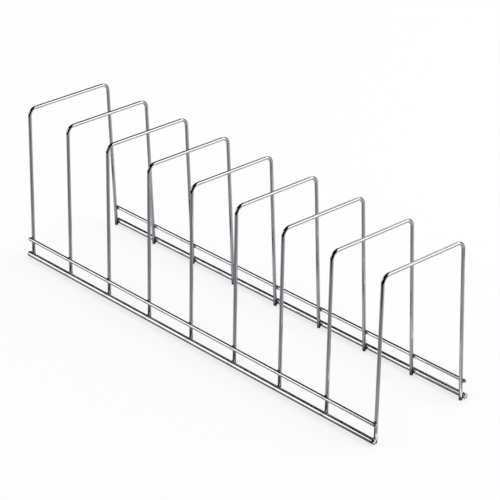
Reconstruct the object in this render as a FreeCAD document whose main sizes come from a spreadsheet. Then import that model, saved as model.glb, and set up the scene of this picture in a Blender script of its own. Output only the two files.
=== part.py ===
import FreeCAD, Part
import math
import os
import Sketcher

# A wire plate rack. Nine bent hoops stand in a row, and a plate stands in each gap between two.
# Four straight rails hold the hoops: two along the front feet and two along the back feet.
# The row runs along X, the front is at -Y, and the feet stand on the surface z = 0.
# Every wire is round steel. A rail lies on the outer side of the legs and is welded to each of
# them: the weld presses the two wires together, so the rail has a seat for every leg.
# Sizes are in millimetres, and the origin is the middle of the footprint.

SIZES = (
    ("hoop_count", "9", "hoops in the row, one more than the plates it holds"),
    ("hoop_pitch", "54", "from the middle of one hoop to the middle of the next"),
    ("hoop_wire", "3", "diameter of the wire that a hoop is bent from"),
    ("rack_height", "143", "from the surface to the top of a crossbar"),
    ("crossbar_span", "86.4", "between the two leg lines where they cross the crossbar's line"),
    ("foot_span", "95", "between the middles of the two feet of a hoop"),
    ("bend_radius", "6.5", "to the middle of the wire, at the two top corners"),
    ("upper_rail_wire", "3", "diameter of the two upper rails"),
    ("upper_rail_height", "17.3", "from the surface to the middle of an upper rail"),
    ("lower_rail_wire", "4.5", "diameter of the two lower rails"),
    ("lower_rail_lift", "1", "air below a lower rail, so that only the feet touch"),
    ("rail_overhang", "3", "from the middle of the last hoop to the end of a rail"),
    ("weld_sink", "0.4", "depth by which a rail and a leg are pressed together"),
    ("cut_edge", "0.5", "bevel of each cut end, where the burr is taken off"),
)

# Heights and places that follow from the sizes, as expressions that read the sheet.
CROSSBAR_HEIGHT = "(Sizes.rack_height - Sizes.hoop_wire / 2)"
LEG_SLOPE = f"((Sizes.foot_span - Sizes.crossbar_span) / 2 / {CROSSBAR_HEIGHT})"
LOWER_RAIL_HEIGHT = "(Sizes.lower_rail_lift + Sizes.lower_rail_wire / 2)"
HALF_ROW = "(Sizes.hoop_pitch * (Sizes.hoop_count - 1) / 2)"

# The two rails of each side: the name of the level, the wire and the height of its middle.
RAILS = (
    ("upper", "Sizes.upper_rail_wire", "Sizes.upper_rail_height"),
    ("lower", "Sizes.lower_rail_wire", LOWER_RAIL_HEIGHT),
)

# How a sketch names its own origin and axes, and the ends and centre of a piece of geometry.
ORIGIN_POINT = (-1, 1)
SKETCH_AXES = {"horizontal": -1, "vertical": -2}
START, END, CENTRE = range(1, 4)
RIGHT_ANGLE = math.pi / 2

SURFACE_TOLERANCE = 0.001


def make_sheet(doc):
    """Give each size a row of the sheet: its name, its value and what it measures."""
    sheet = doc.addObject("Spreadsheet::Sheet", "Sizes")
    for row, (name, value, meaning) in enumerate(SIZES, start=1):
        sheet.set(f"A{row}", name)
        sheet.set(f"B{row}", value)
        sheet.set(f"C{row}", meaning)
        sheet.setAlias(f"B{row}", name)
    doc.recompute()
    return sheet


def origin_feature(body, role):
    """Find one of a body's own planes or axes."""
    return next(item for item in body.Origin.OriginFeatures if item.Role == role)


def new_sketch(body, name, plane):
    sketch = body.newObject("Sketcher::SketchObject", name)
    sketch.AttachmentSupport = [(origin_feature(body, plane), "")]
    sketch.MapMode = "FlatFace"
    return sketch


def relate(sketch, kind, *where):
    """Add a constraint that has no size of its own."""
    sketch.addConstraint(Sketcher.Constraint(kind, *where))


def measure(sketch, kind, *where, size):
    """Add a constraint whose value is an expression."""
    value = float(sketch.evalExpression(size))
    index = sketch.addConstraint(Sketcher.Constraint(kind, *where, value))
    sketch.setExpression(f"Constraints[{index}]", size)


def draw_circle(sketch, diameter):
    """Draw a circle round the sketch's origin, with its place still free."""
    circle = sketch.addGeometry(Part.Circle(FreeCAD.Vector(), FreeCAD.Vector(0, 0, 1), 1))
    measure(sketch, "Diameter", circle, size=diameter)
    return circle


def repeat_along_row(body, feature, name):
    """Repeat a feature at each hoop. The first one lies at the left end of the row."""
    pattern = body.newObject("PartDesign::LinearPattern", name)
    pattern.Originals = [feature]
    pattern.Direction = (origin_feature(body, "X_Axis"), [""])
    pattern.Mode = "Spacing"
    pattern.setExpression("Offset", "Sizes.hoop_pitch")
    pattern.setExpression("Occurrences", "Sizes.hoop_count")
    body.Tip = pattern
    return pattern


def bevel_edges(body, base, name, wanted):
    """Bevel the edges of the base that pass a test, as a cut wire's ends are deburred."""
    body.Document.recompute()
    names = [f"Edge{n}" for n, edge in enumerate(base.Shape.Edges, start=1) if wanted(edge)]
    bevel = body.newObject("PartDesign::Chamfer", name)
    bevel.Base = (base, names)
    bevel.setExpression("Size", "Sizes.cut_edge")
    return bevel


def draw_hoop_path(body):
    """Draw the middle line of a hoop: leg, corner, crossbar, corner, leg, seen from the right.

    The legs run on below the surface, where the trim ends them.
    """
    path = new_sketch(body, "Path", "YZ_Plane")
    point = FreeCAD.Vector
    half_foot = float(path.evalExpression("Sizes.foot_span / 2"))
    half_bar = float(path.evalExpression("Sizes.crossbar_span / 2 - Sizes.bend_radius"))
    height = float(path.evalExpression(CROSSBAR_HEIGHT))
    radius = float(path.evalExpression("Sizes.bend_radius"))
    shoulder = height - radius
    up = point(0, 0, 1)
    front_foot, front_top = point(-half_foot, 0), point(-half_bar - radius, shoulder)
    back_foot, back_top = point(half_foot, 0), point(half_bar + radius, shoulder)
    bar_start, bar_end = point(-half_bar, height), point(half_bar, height)
    front_circle = Part.Circle(point(-half_bar, shoulder), up, radius)
    back_circle = Part.Circle(point(half_bar, shoulder), up, radius)

    front_leg = path.addGeometry(Part.LineSegment(front_foot, front_top))
    front_bend = path.addGeometry(Part.ArcOfCircle(front_circle, RIGHT_ANGLE, 2 * RIGHT_ANGLE))
    crossbar = path.addGeometry(Part.LineSegment(bar_start, bar_end))
    back_bend = path.addGeometry(Part.ArcOfCircle(back_circle, 0, RIGHT_ANGLE))
    back_leg = path.addGeometry(Part.LineSegment(back_top, back_foot))

    relate(path, "Tangent", front_leg, END, front_bend, END)
    relate(path, "Tangent", front_bend, START, crossbar, START)
    relate(path, "Tangent", crossbar, END, back_bend, END)
    relate(path, "Tangent", back_bend, START, back_leg, START)
    relate(path, "Equal", front_bend, back_bend)
    relate(path, "Symmetric", crossbar, START, crossbar, END, SKETCH_AXES["vertical"])
    relate(path, "Symmetric", front_leg, START, back_leg, END, SKETCH_AXES["vertical"])
    measure(path, "Radius", front_bend, size="Sizes.bend_radius")
    measure(path, "DistanceY", *ORIGIN_POINT, crossbar, START, size=CROSSBAR_HEIGHT)
    measure(path, "DistanceY", front_leg, START, *ORIGIN_POINT, size="Sizes.hoop_wire")

    foot = path.addGeometry(Part.Point(front_foot), True)
    relate(path, "PointOnObject", foot, START, SKETCH_AXES["horizontal"])
    relate(path, "PointOnObject", foot, START, front_leg)
    measure(path, "DistanceX", foot, START, *ORIGIN_POINT, size="Sizes.foot_span / 2")
    shoulder_corner = path.addGeometry(Part.Point(point(-half_bar - radius, height)), True)
    relate(path, "PointOnObject", shoulder_corner, START, crossbar)
    relate(path, "PointOnObject", shoulder_corner, START, front_leg)
    measure(path, "DistanceX", shoulder_corner, START, *ORIGIN_POINT, size="Sizes.crossbar_span / 2")
    return path


def trim_feet(body):
    """Cut both legs off flat at the surface."""
    below = new_sketch(body, "Surface", "XY_Plane")
    relate(below, "Coincident", draw_circle(below, "2 * Sizes.foot_span"), CENTRE, *ORIGIN_POINT)
    trim = body.newObject("PartDesign::Pocket", "Trim")
    trim.Profile = below
    trim.Type = "ThroughAll"
    return trim


def make_hoop(doc, place):
    """Bend one hoop from a single length of wire, and stand it at its place in the row."""
    hoop = doc.addObject("PartDesign::Body", f"hoop_{place + 1}")
    hoop.setExpression("Placement.Base.x", f"{place} * Sizes.hoop_pitch - {HALF_ROW}")

    path = draw_hoop_path(hoop)
    doc.recompute()
    section = hoop.newObject("Sketcher::SketchObject", "Section")
    section.AttachmentSupport = [(path, "Edge1")]
    section.MapMode = "NormalToEdge"
    section.MapPathParameter = 0
    relate(section, "Coincident", draw_circle(section, "Sizes.hoop_wire"), CENTRE, *ORIGIN_POINT)

    wire = hoop.newObject("PartDesign::AdditivePipe", "Wire")
    wire.Profile = section
    wire.Spine = (path, [f"Edge{n}" for n in range(1, len(path.Shape.Edges) + 1)])
    trim = trim_feet(hoop)
    bevel_edges(hoop, trim, "Feet", lambda edge: edge.BoundBox.ZMax < SURFACE_TOLERANCE)
    return hoop


def make_rail(doc, name, wire, height, back):
    """Make one rail, and lay it against the outer side of the legs at its height.

    In its own frame the rail lies along X, and the legs that it is welded to run along Z at
    one side of it. Its placement then turns it to meet the slope of the legs.
    """
    rail = doc.addObject("PartDesign::Body", name)
    wires_apart = f"({wire} / 2 + Sizes.hoop_wire / 2 - Sizes.weld_sink)"

    profile = new_sketch(rail, "Section", "YZ_Plane")
    relate(profile, "Coincident", draw_circle(profile, wire), CENTRE, *ORIGIN_POINT)
    rod = rail.newObject("PartDesign::Pad", "Rod")
    rod.Profile = profile
    rod.SideType = "Symmetric"
    rod.setExpression("Length", f"2 * {HALF_ROW} + 2 * Sizes.rail_overhang")
    bevel_edges(rail, rod, "Ends", lambda edge: edge.BoundBox.XLength < SURFACE_TOLERANCE)

    print_of_leg = new_sketch(rail, "Leg", "XY_Plane")
    circle = draw_circle(print_of_leg, "Sizes.hoop_wire")
    measure(print_of_leg, "DistanceX", circle, CENTRE, *ORIGIN_POINT, size=HALF_ROW)
    measure(print_of_leg, "DistanceY", circle, CENTRE, *ORIGIN_POINT, size=wires_apart)
    seat = rail.newObject("PartDesign::Pocket", "Seat")
    seat.Profile = print_of_leg
    seat.Type = "ThroughAll"
    seat.SideType = "Symmetric"
    repeat_along_row(rail, seat, "Seats")

    turn = f"atan({LEG_SLOPE})"
    reach = f"(Sizes.foot_span / 2 - {height} * {LEG_SLOPE} + {wires_apart} / cos({turn}))"
    x_axis = FreeCAD.Vector(1, 0, 0)
    rail.Placement = FreeCAD.Placement(FreeCAD.Vector(), FreeCAD.Rotation(x_axis, 1))
    rail.setExpression("Placement.Base.y", reach if back else f"-{reach}")
    rail.setExpression("Placement.Base.z", height)
    rail.setExpression("Placement.Rotation.Angle", turn if back else f"180 deg - {turn}")
    return rail


def check(doc, pieces):
    """Stop if any object failed, a cut removed nothing, or a piece is not one sound solid."""
    for item in doc.Objects:
        if "Invalid" in item.State or "Error" in item.State:
            raise RuntimeError(f"{item.Label} failed: {item.State}")
        if item.TypeId == "PartDesign::Pocket":
            if item.Shape.Volume >= item.BaseFeature.Shape.Volume:
                raise RuntimeError(f"{item.Label} cuts nothing")
    for piece in pieces:
        shape = piece.Shape
        if shape.isNull() or not shape.isValid() or len(shape.Solids) != 1:
            raise RuntimeError(f"{piece.Label} is not one sound solid")


def main():
    doc = FreeCAD.newDocument("PlateRack")
    sheet = make_sheet(doc)
    pieces = [make_hoop(doc, place) for place in range(round(sheet.hoop_count))]
    for side, back in (("front", False), ("rear", True)):
        for level, wire, height in RAILS:
            pieces.append(make_rail(doc, f"{side}_{level}_rail", wire, height, back))
    doc.recompute()
    check(doc, pieces)

    os.makedirs("parts", exist_ok=True)
    for piece in pieces:
        piece.Shape.exportStep(f"parts/{piece.Label}.step")


main()
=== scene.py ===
import math

import bpy
import numpy as np
from mathutils import Matrix, Vector


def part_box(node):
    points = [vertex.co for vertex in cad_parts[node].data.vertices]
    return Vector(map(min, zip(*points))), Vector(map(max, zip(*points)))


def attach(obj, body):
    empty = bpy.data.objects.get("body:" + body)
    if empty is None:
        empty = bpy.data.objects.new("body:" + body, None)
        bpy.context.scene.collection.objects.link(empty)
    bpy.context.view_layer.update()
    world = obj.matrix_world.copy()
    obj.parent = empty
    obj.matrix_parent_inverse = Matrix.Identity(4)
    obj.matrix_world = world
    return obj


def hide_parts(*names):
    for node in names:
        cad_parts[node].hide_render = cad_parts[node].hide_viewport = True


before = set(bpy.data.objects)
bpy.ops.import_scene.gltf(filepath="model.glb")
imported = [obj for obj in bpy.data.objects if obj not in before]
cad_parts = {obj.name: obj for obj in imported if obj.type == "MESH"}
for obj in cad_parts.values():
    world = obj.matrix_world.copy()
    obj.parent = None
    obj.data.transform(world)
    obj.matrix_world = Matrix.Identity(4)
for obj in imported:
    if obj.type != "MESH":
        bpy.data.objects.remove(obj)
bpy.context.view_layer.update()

# The camera.
# It stands in front of the rack's right-hand end and looks down on it through a long lens. Its
# place is a distance from the point it looks at, and it is rolled by less than half a degree.
VIEW_AZIMUTH = math.radians(48.14)
VIEW_ELEVATION = math.radians(26.6)
VIEW_ROLL = math.radians(-0.4208)
VIEW_DISTANCE = 1.7642
VIEW_CENTRE = (0.0310, -0.0088, 0.0838)
LENS, SENSOR = 156.02, 36.0

back = Vector((
    math.sin(VIEW_AZIMUTH) * math.cos(VIEW_ELEVATION),
    -math.cos(VIEW_AZIMUTH) * math.cos(VIEW_ELEVATION),
    math.sin(VIEW_ELEVATION),
))
camera_data = bpy.data.cameras.new("camera")
camera_data.lens, camera_data.sensor_width = LENS, SENSOR
camera_data.clip_start, camera_data.clip_end = 0.05, 50.0
camera = bpy.data.objects.new("camera", camera_data)
camera.matrix_world = (
    Matrix.Translation(Vector(VIEW_CENTRE) + back * VIEW_DISTANCE)
    @ back.to_track_quat("Z", "Y").to_matrix().to_4x4()
    @ Matrix.Rotation(VIEW_ROLL, 4, "Z")
)
bpy.context.scene.collection.objects.link(camera)
bpy.context.scene.camera = camera
bpy.context.scene.view_settings.view_transform = "Standard"


# The nine hoops.
# Each is one length of drawn steel wire, bent over a round former at its two top corners,
# cropped at both feet and chrome plated. Both legs spread a little towards the feet.
HOOP_WIRE_RADIUS = 0.0015
BEND_RADIUS = 0.0065
CROSSBAR_SPAN = 0.0864
FOOT_SPAN = 0.095
FOOT_ROUNDING = 0.0006
BEND_FLATTENING = 0.03
LEG_STEPS, BEND_STEPS, HALF_CROSSBAR_STEPS = 28, 24, 8
RING_SIDES, DOME_RINGS = 36, 9
# Near each weld the chrome is darker: partly a weld stain, partly painted shade of the joint.
STAIN_AND_SHADE_REACH = 0.0022

CHROME_COLOUR = (0.81, 0.82, 0.835, 1.0)
CHROME_SHADE = (0.73, 0.742, 0.765, 1.0)
# The colour near the welds is darker partly as a stain and partly as painted shade.
STAIN_AND_SHADE_COLOUR = (0.50, 0.49, 0.48, 1.0)
CHROME_ROUGHNESS, LINE_ROUGHNESS, SMUDGE_ROUGHNESS, STAIN_ROUGHNESS = 0.015, 0.02, 0.03, 0.25
LINE_STRETCH, LINE_RELIEF = 0.015, 0.25
SPECKLE_CONTRAST, SPECKLE_LOSS = 1.6, 0.2


def leg_lean(crossbar_height):
    """How far a leg leans from upright: the angle whose tangent is the run over the rise.

    The run is half of what the feet's span is more than the crossbar's, and the rise is the
    height of the crossbar's middle line.
    """
    return math.atan((FOOT_SPAN - CROSSBAR_SPAN) / 2 / crossbar_height)


def hoop_line(crossbar_height):
    """The middle line of a hoop in the YZ plane, from the front foot to the back foot.

    Two straight legs, two arcs that touch leg and crossbar, and the straight crossbar. Gives
    points, unit tangents and how far each point is bent, from 0 on a straight run to 1.
    """
    lean = leg_lean(crossbar_height)
    turn = math.pi / 2 - lean
    corner_to_arc = BEND_RADIUS * math.tan(turn / 2)
    foot_height = HOOP_WIRE_RADIUS * math.sin(lean)
    arc_y, arc_z = CROSSBAR_SPAN / 2 - corner_to_arc, crossbar_height - BEND_RADIUS

    angle = math.pi - lean - np.linspace(0, turn, BEND_STEPS + 1)
    arc = np.stack([-arc_y + BEND_RADIUS * np.cos(angle), arc_z + BEND_RADIUS * np.sin(angle)], 1)
    foot = np.array([-FOOT_SPAN / 2 + foot_height * math.tan(lean), foot_height])
    leg = foot + (arc[0] - foot) * np.linspace(0, 1, LEG_STEPS + 1)[:-1, None]
    bar_y = np.linspace(arc[-1, 0], 0, HALF_CROSSBAR_STEPS + 1)[1:]
    half_bar = np.stack([bar_y, np.full(HALF_CROSSBAR_STEPS, crossbar_height)], 1)
    half = np.concatenate([leg, arc, half_bar])
    line = np.concatenate([half, (half * (-1, 1))[-2::-1]])

    leg_way = np.tile([math.sin(lean), math.cos(lean)], (LEG_STEPS, 1))
    arc_way = np.stack([np.sin(angle), -np.cos(angle)], 1)
    bar_way = np.tile([1.0, 0.0], (HALF_CROSSBAR_STEPS, 1))
    half_way = np.concatenate([leg_way, arc_way, bar_way])
    way = np.concatenate([half_way, (half_way * (1, -1))[-2::-1]])

    arc_bend = np.sin(np.linspace(0, math.pi, BEND_STEPS + 1))
    half_bend = np.concatenate([np.zeros(LEG_STEPS), arc_bend, np.zeros(HALF_CROSSBAR_STEPS)])
    bend = np.concatenate([half_bend, half_bend[-2::-1]])
    return line, way, bend


def skin_faces(rings, sides, first=0):
    """The faces of a closed skin of rings of points, whose two poles follow the last ring.

    Each side of each ring is joined to the same side of the next ring, and a fan round a pole
    closes either end. The points are numbered from first.
    """
    row = first + np.arange(rings - 1)[:, None] * sides
    here = np.arange(sides)
    after = (here + 1) % sides
    quads = np.stack([row + here, row + after, row + sides + after, row + sides + here], -1)
    last_ring, pole = first + (rings - 1) * sides, first + rings * sides
    start_fan = np.stack([np.full(sides, pole), first + after, first + here], 1)
    end_fan = np.stack([np.full(sides, pole + 1), last_ring + here, last_ring + after], 1)
    return quads.reshape(-1, 4).tolist() + start_fan.tolist() + end_fan.tolist()


def wire_mesh(name, line, way, bend, side, radius, rounding, welds):
    """A round wire along a line in space, with both cut ends rounded off.

    A point is the middle line plus radius times (cos a of the side vector plus sin a of the
    vector square to it), for the angle a round the wire. At an end the radius follows a flat
    ellipse, radius times cos q at the depth rounding times (1 - sin q), so the end is domed.
    Where the wire is bent, its sin a part is a little less, as bending flattens a wire. Each
    point keeps its place on the straightened wire in the attribute "wire" (across, across,
    along), and in a second attribute how near it is to a weld, for the stain and painted shade
    there: e to the power of minus the square of its distance over the reach of that stain.
    """
    run = np.concatenate([[0], np.cumsum(np.linalg.norm(np.diff(line, axis=0), axis=1))])
    dome = np.linspace(math.pi / 2, 0, DOME_RINGS + 1)[1:]
    depth, width = rounding * (1 - np.sin(dome)), radius * np.cos(dome)
    inner = run[(run > rounding) & (run < run[-1] - rounding)]
    place = np.concatenate([depth, inner, run[-1] - depth[::-1]])
    size = np.concatenate([width, np.full(len(inner), radius), width[::-1]])

    def along(values):
        """The values at each place, on the straight line between the two nearest rows."""
        return np.stack([np.interp(place, run, values[:, k]) for k in range(values.shape[1])], 1)

    middle, tangent = along(line), along(way)
    tangent /= np.linalg.norm(tangent, axis=1, keepdims=True)
    other = np.cross(tangent, side)
    squash = 1 - BEND_FLATTENING * np.interp(place, run, bend)
    angle = np.linspace(0, 2 * math.pi, RING_SIDES, endpoint=False)
    across = np.cos(angle)[None, :, None] * side + (
        np.sin(angle)[None, :, None] * other[:, None, :] * squash[:, None, None])
    rings = middle[:, None, :] + size[:, None, None] * across
    points = np.concatenate([rings.reshape(-1, 3), line[[0, -1]]])

    mesh = bpy.data.meshes.new(name)
    mesh.from_pydata(points, [], skin_faces(len(place), RING_SIDES))
    straight = np.stack(np.broadcast_arrays(
        size[:, None] * np.cos(angle), size[:, None] * np.sin(angle), place[:, None]), -1)
    poles = np.array([[0, 0, 0], [0, 0, run[-1]]])
    attribute = mesh.attributes.new("wire", "FLOAT_VECTOR", "POINT")
    attribute.data.foreach_set("vector", np.concatenate([straight.reshape(-1, 3), poles]).ravel())
    from_weld = np.abs(place[:, None] - np.asarray(welds)[None, :]).min(1) / STAIN_AND_SHADE_REACH
    near = np.concatenate([np.repeat(np.exp(-from_weld ** 2), RING_SIDES), [0, 0]])
    mesh.attributes.new("stain_and_shade", "FLOAT", "POINT").data.foreach_set("value", near)
    mesh.shade_smooth()
    return mesh


class Value:
    """A socket that can be used in sums. Each operation adds the Math node that does it."""

    def __init__(self, tree, socket=None):
        self.tree, self.socket = tree, socket

    def node(self, kind, settings=(), output=0, **inputs):
        """Add a node of a kind, with its settings and then its inputs, and give one output.

        An input goes by its socket's name, with an underscore for a space, or by its number
        after an underscore.
        """
        made = self.tree.nodes.new(kind)
        for key, value in dict(settings).items():
            setattr(made, key, value)
        for key, value in inputs.items():
            name = int(key[1:]) if key[0] == "_" and key[1:].isdigit() else key.replace("_", " ")
            if isinstance(value, Value):
                value.feed(made, name)
            else:
                made.inputs[name].default_value = value
        return Value(self.tree, made.outputs[output])

    def feed(self, node, name):
        """Link this value to a socket of a node."""
        self.tree.links.new(self.socket, node.inputs[name])

    def mix(self, at_nought, at_one):
        """The colour that this value picks between two, the first at nought and the second at one."""
        return self.node("ShaderNodeMix", {"data_type": "RGBA", "clamp_factor": True}, output=2,
                         _0=self, _6=at_nought, _7=at_one)

    def math(self, operation, first, second):
        """What a Math node makes of two values."""
        return self.node("ShaderNodeMath", {"operation": operation}, _0=first, _1=second)

    def __add__(self, other):
        return self.math("ADD", self, other)

    def __mul__(self, other):
        return self.math("MULTIPLY", self, other)

    def __sub__(self, other):
        return self.math("SUBTRACT", self, other)

    def __rsub__(self, other):
        return self.math("SUBTRACT", other, self)

    __radd__, __rmul__ = __add__, __mul__


def new_material(name):
    """A material that starts with one plain shader."""
    material = bpy.data.materials.new(name)
    material.use_nodes = True
    return material


def shader_of(material):
    """The shader that a material starts with."""
    return material.node_tree.nodes["Principled BSDF"]


def chrome(name):
    """Bright chrome on drawn wire: faint die lines along it, a little waviness, dull welds.

    The die lines are noise on the straightened wire, whose length counts LINE_STRETCH times, so
    the noise is drawn out along it. The roughness is a sum of the lines, the smudges and the
    stain, each times its own share. The stain is nearness to a weld times a speckled noise; its
    darker colour is partly a weld stain and partly painted shade of the joint.
    """
    material = new_material(name)
    shader, start = shader_of(material), Value(material.node_tree)
    wire = start.node("ShaderNodeAttribute", {"attribute_name": "wire"}, output="Vector")
    spot = start.node("ShaderNodeTexCoord", output="Object")

    drawn = start.node("ShaderNodeVectorMath", {"operation": "MULTIPLY"},
                       _0=wire, _1=(1.0, 1.0, LINE_STRETCH))
    lines = start.node("ShaderNodeTexNoise", Vector=drawn, Scale=2600.0, Detail=4.0)
    smudge = start.node("ShaderNodeTexNoise", Vector=spot, Scale=90.0, Detail=3.0)
    wave = start.node("ShaderNodeTexNoise", Vector=wire, Scale=220.0, Detail=1.0)

    # The stain next to each weld, partly painted shade of the joint between the wires.
    stain_and_shade = start.node("ShaderNodeAttribute", {"attribute_name": "stain_and_shade"}, output="Fac")
    speckle = start.node("ShaderNodeTexNoise", Vector=spot, Scale=1400.0, Detail=3.0)
    stained_and_shaded = stain_and_shade * (speckle * SPECKLE_CONTRAST - SPECKLE_LOSS)

    tint = stained_and_shaded.mix(smudge.mix(CHROME_SHADE, CHROME_COLOUR), STAIN_AND_SHADE_COLOUR)
    rough = (CHROME_ROUGHNESS + lines * LINE_ROUGHNESS + smudge * SMUDGE_ROUGHNESS
             + stained_and_shaded * STAIN_ROUGHNESS)
    relief = lines * LINE_RELIEF + wave
    bump = start.node("ShaderNodeBump", Strength=0.12, Distance=0.00004, Height=relief)
    tint.feed(shader, "Base Color")
    rough.feed(shader, "Roughness")
    bump.feed(shader, "Normal")
    shader.inputs["Metallic"].default_value = 1.0
    return material


def middle_of(node):
    """The middle of a node's box: half of the sum of its two corners."""
    low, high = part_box(node)
    return (np.array(low) + np.array(high)) / 2


hoop_chrome = chrome("hoop_chrome")
hoop_nodes = sorted(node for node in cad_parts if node.startswith("hoop_"))
rail_nodes = sorted(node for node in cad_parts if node.endswith("_rail"))
rail_heights = np.array([middle_of(node)[2] for node in rail_nodes])
for node in hoop_nodes:
    flat_line, flat_way, bend = hoop_line(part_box(node)[1].z - HOOP_WIRE_RADIUS)
    length = np.linalg.norm(np.diff(flat_line, axis=0), axis=1).sum()
    welds = np.concatenate([rail_heights, length - rail_heights])
    line = np.column_stack([np.full(len(flat_line), middle_of(node)[0]), flat_line])
    way = np.column_stack([np.zeros(len(flat_way)), flat_way])
    mesh = wire_mesh(node + "_wire", line, way, bend, side=np.array([1.0, 0.0, 0.0]),
                     radius=HOOP_WIRE_RADIUS, rounding=FOOT_ROUNDING, welds=welds)
    mesh.materials.append(hoop_chrome)
    hoop = bpy.data.objects.new(node + "_wire", mesh)
    bpy.context.scene.collection.objects.link(hoop)
    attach(hoop, "root")
    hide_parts(node)


# The four rails.
# Straight lengths of the same plated wire, the lower two thicker, welded to the outer side of
# the legs: one pair along the front feet and one pair along the back feet.
END_ROUNDING = 0.0010
RAIL_POINTS = 146

rail_chrome = chrome("rail_chrome")
hoop_places = np.array([middle_of(node)[0] for node in hoop_nodes])
for node in rail_nodes:
    low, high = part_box(node)
    radius = (high.z - low.z) / 2
    middle_y = low.y + radius if node.startswith("front") else high.y - radius
    xs = np.linspace(low.x, high.x, RAIL_POINTS)
    line = np.column_stack([
        xs, np.full(RAIL_POINTS, middle_y), np.full(RAIL_POINTS, middle_of(node)[2])])
    way = np.tile([1.0, 0.0, 0.0], (RAIL_POINTS, 1))
    mesh = wire_mesh(node + "_wire", line, way, np.zeros(RAIL_POINTS), side=np.array([0.0, 0.0, 1.0]),
                     radius=radius, rounding=END_ROUNDING, welds=hoop_places - low.x)
    mesh.materials.append(rail_chrome)
    rail = bpy.data.objects.new(node + "_wire", mesh)
    bpy.context.scene.collection.objects.link(rail)
    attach(rail, "root")
    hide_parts(node)


# The welds.
# Each rail is resistance welded to every leg. The press leaves a thin collar of squeezed metal
# in the corner between the two wires, uneven and duller than the wire. Its near black colour is
# partly the dull weld metal and partly painted shade of that corner.
WELD_SIZE = np.array([0.0019, 0.0011, 0.0021])
WELD_UNEVENNESS = 0.16
WELD_RINGS, WELD_SIDES = 13, 24
WELD_POINTS = WELD_RINGS * WELD_SIDES + 2
SEED_PER_HOOP, SEED_PER_METRE = 1.7, 900
# Both weld colours are dark partly from the weld metal and partly from painted shade of the joint.
WELD_SHADED_DARK, WELD_SHADED_PALE = (0.05, 0.05, 0.055, 1.0), (0.30, 0.30, 0.31, 1.0)
WELD_ROUGHNESS, GRAIN_ROUGHNESS = 0.14, 0.22


def collar_points(middle, lean, seed):
    """One collar: an ellipsoid whose radius swells and sinks with the angles round it.

    For the angles a round it and e up it, a point is WELD_SIZE times (cos e cos a, cos e sin a,
    sin e), times one plus WELD_UNEVENNESS times the mean of two waves, which are sin(3a + seed)
    cos e and sin(4e + 2.3 seed + a). It is tipped with the leg and put at the middle. The seed
    makes every collar another shape.
    """
    around = np.linspace(0, 2 * math.pi, WELD_SIDES, endpoint=False)
    up = np.linspace(-math.pi / 2, math.pi / 2, WELD_RINGS + 2)[1:-1]
    a, e = np.meshgrid(around, up)
    waves = np.sin(3 * a + seed) * np.cos(e) + np.sin(4 * e + 2.3 * seed + a)
    swell = 1 + WELD_UNEVENNESS * waves / 2
    ball = np.stack([np.cos(e) * np.cos(a), np.cos(e) * np.sin(a), np.sin(e)], -1).reshape(-1, 3)
    shape = np.concatenate([ball * swell.reshape(-1, 1), [[0, 0, -1], [0, 0, 1]]]) * WELD_SIZE
    tipped = shape * (1, 1, math.cos(lean)) + np.outer(shape[:, 2], (0, math.sin(lean), 0))
    return tipped + middle


def weld_metal_and_shade():
    """Squeezed metal under the plating: grainy, duller than the wire, and much darker.

    The darkness is partly the weld metal's own and partly painted shade of the joint.
    """
    material = new_material("weld_metal_and_shade")
    shader, start = shader_of(material), Value(material.node_tree)
    spot = start.node("ShaderNodeTexCoord", output="Object")
    grain = start.node("ShaderNodeTexNoise", Vector=spot, Scale=1700.0, Detail=4.0)
    bump = start.node("ShaderNodeBump", Strength=0.5, Distance=0.0001, Height=grain)
    grain.mix(WELD_SHADED_DARK, WELD_SHADED_PALE).feed(shader, "Base Color")
    (WELD_ROUGHNESS + grain * GRAIN_ROUGHNESS).feed(shader, "Roughness")
    bump.feed(shader, "Normal")
    shader.inputs["Metallic"].default_value = 1.0
    return material


weld_finish_and_shade = weld_metal_and_shade()
lean = leg_lean(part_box(hoop_nodes[0])[1].z - HOOP_WIRE_RADIUS)
for node in rail_nodes:
    side = -1 if node.startswith("front") else 1
    height = middle_of(node)[2]
    leg_face = side * (FOOT_SPAN / 2 - height * math.tan(lean) + HOOP_WIRE_RADIUS)
    seeds = SEED_PER_HOOP * np.arange(len(hoop_places)) + SEED_PER_METRE * height
    points = [collar_points((x, leg_face, height), -side * lean, seed)
              for x, seed in zip(hoop_places, seeds)]
    faces = sum((skin_faces(WELD_RINGS, WELD_SIDES, n * WELD_POINTS) for n in range(len(points))), [])
    mesh = bpy.data.meshes.new(node + "_welds")
    mesh.from_pydata(np.concatenate(points), [], faces)
    mesh.shade_smooth()
    mesh.materials.append(weld_finish_and_shade)
    welds = bpy.data.objects.new(node + "_welds", mesh)
    bpy.context.scene.collection.objects.link(welds)
    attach(welds, "root")


# The studio.
# A white floor and surround, and three soft lights. Chrome shows whatever stands round it, so a
# dark room, two boards, two small white cards and a grey sheet are there for reflections alone.
FLOOR_HALF, FLOOR_LIFT = 4.0, 0.70
ROOM_HALF, ROOM_FLOOR = 3.4, 0.0001
FLOOR_COLOUR, ROOM_COLOUR = (0.38, 0.38, 0.38), (0.009, 0.0105, 0.0125)
PALE_BOARD_COLOUR, END_BOARD_COLOUR = (0.62, 0.43, 0.46), (0.42, 0.42, 0.42)
# The cards' glow is painted light, seen in the ends of the rails.
CARD_COLOUR, CARD_PAINTED_GLOW = (0.90, 0.90, 0.90), 0.5


def staged(name, points, faces, material, seen_by_camera=False):
    """A thing of the studio, from its corners and faces, that the camera may or may not see."""
    mesh = bpy.data.meshes.new(name)
    mesh.from_pydata(points, [], faces)
    mesh.materials.append(material)
    thing = bpy.data.objects.new(name, mesh)
    bpy.context.scene.collection.objects.link(thing)
    if not seen_by_camera:
        thing.visible_camera = False
        thing.visible_diffuse = False
        thing.visible_shadow = False
        thing.visible_transmission = False


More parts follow.
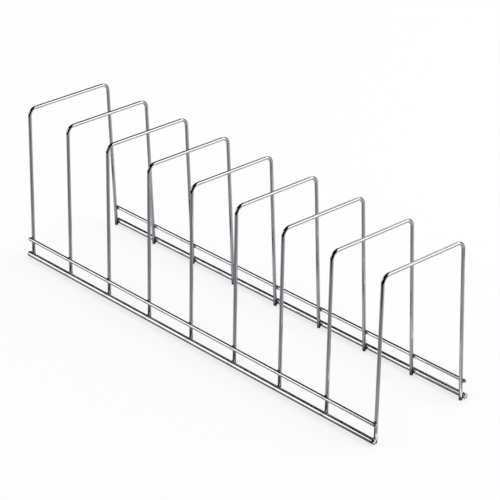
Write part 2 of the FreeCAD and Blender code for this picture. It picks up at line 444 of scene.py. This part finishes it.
def plate(x_low, x_high, y_low, y_high, z):
    """The four corners and the one face of an oblong that lies flat at a height."""
    corners = [(x_low, y_low, z), (x_high, y_low, z), (x_high, y_high, z), (x_low, y_high, z)]
    return corners, [(0, 1, 2, 3)]


def matt(name, colour, glow=0.0):
    """A plain matt paint of one colour, which may glow a little."""
    material = new_material(name)
    shader = shader_of(material)
    shader.inputs["Base Color"].default_value = (*colour, 1.0)
    shader.inputs["Specular IOR Level"].default_value = 0.0
    shader.inputs["Emission Color"].default_value = (*colour, 1.0)
    shader.inputs["Emission Strength"].default_value = glow
    return material


def seen_ray(start):
    """One for a ray from the camera or sent on by metal or glass, and nought for any other."""
    rays = [start.node("ShaderNodeLightPath", output=f"Is {kind} Ray")
            for kind in ("Camera", "Glossy", "Transmission")]
    return rays[0] + rays[1] + rays[2]


floor_paint = matt("floor_paint", FLOOR_COLOUR, glow=1.0)
shader_of(floor_paint).inputs["Roughness"].default_value = 1.0
lift = seen_ray(Value(floor_paint.node_tree)) * FLOOR_LIFT
lift.feed(shader_of(floor_paint), "Emission Color")
floor_shape = plate(-FLOOR_HALF, FLOOR_HALF, -FLOOR_HALF, FLOOR_HALF, z=0.0)
staged("floor", *floor_shape, floor_paint, seen_by_camera=True)

room_points = [(x * ROOM_HALF, y * ROOM_HALF, z) for z in (ROOM_FLOOR, ROOM_HALF)
               for x, y in ((-1, -1), (1, -1), (1, 1), (-1, 1))]
room_faces = [(0, 1, 2, 3), (0, 1, 5, 4), (1, 2, 6, 5), (2, 3, 7, 6), (3, 0, 4, 7), (4, 5, 6, 7)]
staged("dark_room", room_points, room_faces, matt("room_paint", ROOM_COLOUR))

# The grey end board and the white cards lie beside the right-hand end, and the pale rose board
# farther behind. Each is given by where it starts and ends along X and along Y, and its height.
# The white cards also glow a little, which is painted light for the ends of the rails to show.
PALE_BOARD = (0.2, 3.0, 0.25, 3.0, 0.0002)
END_BOARD = (0.2215, 0.36, -0.14, 0.075, 0.00035)
LOW_END_CARD = (0.2215, 0.231, -0.06, 0.07, 0.0004)
HIGH_END_CARD = (0.240, 0.250, -0.036, -0.014, 0.0004)

card_paint_and_glow = matt("card_paint_and_glow", CARD_COLOUR, CARD_PAINTED_GLOW)
staged("pale_board", *plate(*PALE_BOARD), matt("pale_paint", PALE_BOARD_COLOUR))
staged("end_board", *plate(*END_BOARD), matt("board_paint", END_BOARD_COLOUR))
staged("low_end_card", *plate(*LOW_END_CARD), card_paint_and_glow)
staged("high_end_card", *plate(*HIGH_END_CARD), card_paint_and_glow)

# The sheet lies under the rack. It grows paler towards the back, its darker front being painted
# shade, and a painted shadow, nearly black, lies in a strip under each pair of rails. A strip is
# given by its front and back edges, and each of these by the two depths between which the shade
# changes.
SHEET_CORNERS = ((-0.62, -0.16), (-0.13, -0.54), (0.61, -0.084), (0.20, 0.50), (-0.50, 0.50))
SHEET_HEIGHT = 0.0003
SHEET_TINT = (0.97, 1.0, 1.06)
# The sheet's near shade is painted shade, and its shade under a rail is painted shadow.
SHEET_NEAR, SHEET_FAR, SHEET_SHADOW_UNDER_RAIL = 0.27, 0.58, 0.03
RISE_FROM, RISE_TO = -0.16, -0.06
FRONT_SHADOW_STRIP = ((-0.084, -0.062), (-0.0505, -0.0315))
REAR_SHADOW_STRIP = ((0.0315, 0.0505), (0.0565, 0.0755))

sheet_paint_and_shadow = matt("sheet_paint_and_shadow", SHEET_TINT)
shader, start = shader_of(sheet_paint_and_shadow), Value(sheet_paint_and_shadow.node_tree)
shader.inputs["Specular IOR Level"].default_value = 0.6
shader.inputs["Roughness"].default_value = 0.06
spot = start.node("ShaderNodeTexCoord", output="Object")
depth = start.node("ShaderNodeSeparateXYZ", output="Y", Vector=spot)
rise = start.node("ShaderNodeMapRange", Value=depth, From_Min=RISE_FROM, From_Max=RISE_TO,
                  To_Min=SHEET_NEAR, To_Max=SHEET_FAR)


def shadow_strip_edge(low, high):
    """What a painted shadow takes from the shade at its edge: a smooth step of the depth, low to
    high.
    """
    return start.node("ShaderNodeMapRange", {"interpolation_type": "SMOOTHSTEP"}, Value=depth,
                      From_Min=low, From_Max=high, To_Min=0.0, To_Max=1.0 - SHEET_SHADOW_UNDER_RAIL)


# Painted shadow: each strip takes nearly all of the shade under a pair of rails.
clear_of_painted_shadow = 1.0
for front_edge, back_edge in (FRONT_SHADOW_STRIP, REAR_SHADOW_STRIP):
    clear_of_painted_shadow = clear_of_painted_shadow - shadow_strip_edge(*front_edge) + shadow_strip_edge(*back_edge)
shade = start.node("ShaderNodeVectorMath", {"operation": "SCALE"}, _0=SHEET_TINT, Scale=rise * clear_of_painted_shadow)
shade.feed(shader, "Base Color")
sheet_points = [(x, y, SHEET_HEIGHT) for x, y in SHEET_CORNERS]
staged("grey_sheet", sheet_points, [(0, 1, 2, 3, 4)], sheet_paint_and_shadow)


def softbox(name, azimuth, distance, width, low, high, radiance):
    """A flat light that stands upright and faces the middle, from one height to another.

    Its place is its distance times (cos, sin) of its angle from +X, and its power is pi times
    its radiance times its area.
    """
    data = bpy.data.lights.new(name, "AREA")
    data.shape = "RECTANGLE"
    data.size, data.size_y = width, high - low
    data.energy = radiance * math.pi * width * (high - low)
    lamp = bpy.data.objects.new(name, data)
    angle = math.radians(azimuth)
    place = Vector((math.cos(angle) * distance, math.sin(angle) * distance, (low + high) / 2))
    aim = Vector((0, 0, place.z)) - place
    lamp.matrix_world = Matrix.Translation(place) @ aim.to_track_quat("-Z", "Y").to_matrix().to_4x4()
    lamp.visible_camera = False
    bpy.context.scene.collection.objects.link(lamp)


softbox("right_softbox", azimuth=42, distance=2.4, width=1.95, low=0.16, high=3.18, radiance=1.5)
softbox("back_softbox", azimuth=98, distance=2.1, width=2.7, low=1.45, high=2.33, radiance=1.4)
softbox("left_softbox", azimuth=221.5, distance=2.8, width=1.40, low=0.16, high=2.35, radiance=1.5)

# The white surround lights the rack at a little over half of the strength at which it is seen.
SURROUND_LIGHT = 0.55
world = bpy.data.worlds.new("surround")
world.use_nodes = True
bpy.context.scene.world = world
background = world.node_tree.nodes["Background"]
strength = SURROUND_LIGHT + seen_ray(Value(world.node_tree)) * (1 - SURROUND_LIGHT)
strength.feed(background, "Strength")
background.inputs["Color"].default_value = (1.0, 1.0, 1.0, 1.0)
